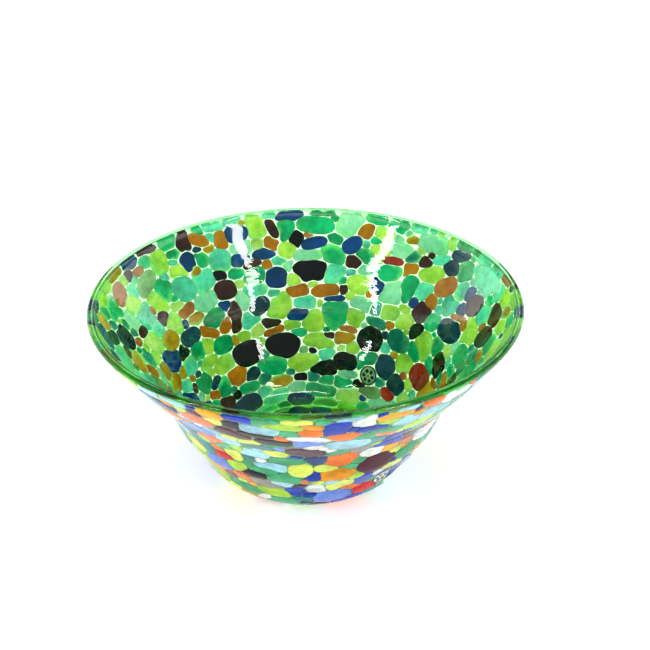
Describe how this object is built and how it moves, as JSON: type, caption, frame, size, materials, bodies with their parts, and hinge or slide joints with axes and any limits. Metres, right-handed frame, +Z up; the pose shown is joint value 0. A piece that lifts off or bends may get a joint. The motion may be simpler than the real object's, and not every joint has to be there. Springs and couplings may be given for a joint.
{
  "type": "art glass bowl",
  "caption": "Flared free-blown bowl of clear green glass, its outside covered with fused chips of coloured opal glass; plain rounded lip and recessed foot.",
  "frame": {"origin": "centre of the foot ring on the surface it rests on", "axes": "+Z up along the turning axis, through the open mouth; the front of the bowl faces -Y"},
  "size_m": [0.26, 0.26, 0.12],
  "materials": {
    "glass_green_gather": "clear green, fire polished",
    "glass_small_chips": "mixed coloured opal chips melted flush",
    "glass_base_chips": "mixed coloured opal chips under the base",
    "glass_amber": "opal amber glass chip, glossy",
    "glass_aubergine": "opal aubergine glass chip, glossy",
    "glass_black": "opal black glass chip, glossy",
    "glass_cobalt": "opal cobalt glass chip, glossy",
    "glass_green": "opal green glass chip, glossy",
    "glass_grey": "opal grey glass chip, glossy",
    "glass_lavender": "opal lavender glass chip, glossy",
    "glass_lemon": "opal lemon glass chip, glossy",
    "glass_lime": "opal lime glass chip, glossy",
    "glass_orange": "opal orange glass chip, glossy",
    "glass_pale_blue": "opal pale blue glass chip, glossy",
    "glass_red": "opal red glass chip, glossy",
    "glass_salmon": "opal salmon glass chip, glossy",
    "glass_slate": "opal slate glass chip, glossy",
    "glass_teal": "opal teal glass chip, glossy",
    "glass_white": "opal white glass chip, glossy",
    "glass_daisy": "cream and dark cane slice with six petals"
  },
  "bodies": {
    "root": {"green_gather": "glass_green_gather", "small_chip_layer": "glass_small_chips", "base_chip_disc": "glass_base_chips", "chip_black_01": "glass_black", "chip_cobalt_01": "glass_cobalt", "chip_orange_01": "glass_orange", "chip_green_01": "glass_green", "chip_cobalt_02": "glass_cobalt", "chip_lime_01": "glass_lime", "chip_aubergine_01": "glass_aubergine", "chip_cobalt_03": "glass_cobalt", "chip_orange_02": "glass_orange", "chip_slate_01": "glass_slate", "chip_black_02": "glass_black", "chip_black_03": "glass_black", "chip_aubergine_02": "glass_aubergine", "chip_green_02": "glass_green", "chip_green_03": "glass_green", "chip_cobalt_04": "glass_cobalt", "chip_pale_blue_01": "glass_pale_blue", "chip_slate_02": "glass_slate", "chip_amber_01": "glass_amber", "chip_grey_01": "glass_grey", "chip_salmon_01": "glass_salmon", "chip_black_04": "glass_black", "chip_amber_02": "glass_amber", "chip_cobalt_05": "glass_cobalt", "chip_green_04": "glass_green", "chip_green_05": "glass_green", "chip_black_05": "glass_black", "chip_teal_01": "glass_teal", "chip_black_06": "glass_black", "chip_salmon_02": "glass_salmon", "chip_red_01": "glass_red", "chip_slate_03": "glass_slate", "chip_black_07": "glass_black", "chip_aubergine_03": "glass_aubergine", "chip_aubergine_04": "glass_aubergine", "chip_green_06": "glass_green", "chip_amber_03": "glass_amber", "chip_cobalt_06": "glass_cobalt", "chip_pale_blue_02": "glass_pale_blue", "chip_orange_03": "glass_orange", "chip_amber_04": "glass_amber", "chip_aubergine_05": "glass_aubergine", "chip_lavender_01": "glass_lavender", "chip_lemon_01": "glass_lemon", "chip_aubergine_06": "glass_aubergine", "chip_pale_blue_03": "glass_pale_blue", "chip_salmon_03": "glass_salmon", "chip_lemon_02": "glass_lemon", "chip_cobalt_07": "glass_cobalt", "chip_green_07": "glass_green", "chip_white_01": "glass_white", "chip_pale_blue_04": "glass_pale_blue", "chip_amber_05": "glass_amber", "chip_orange_04": "glass_orange", "chip_lime_02": "glass_lime", "daisy_slice_01": "glass_daisy", "daisy_slice_02": "glass_daisy"}
  },
  "joints": []
}
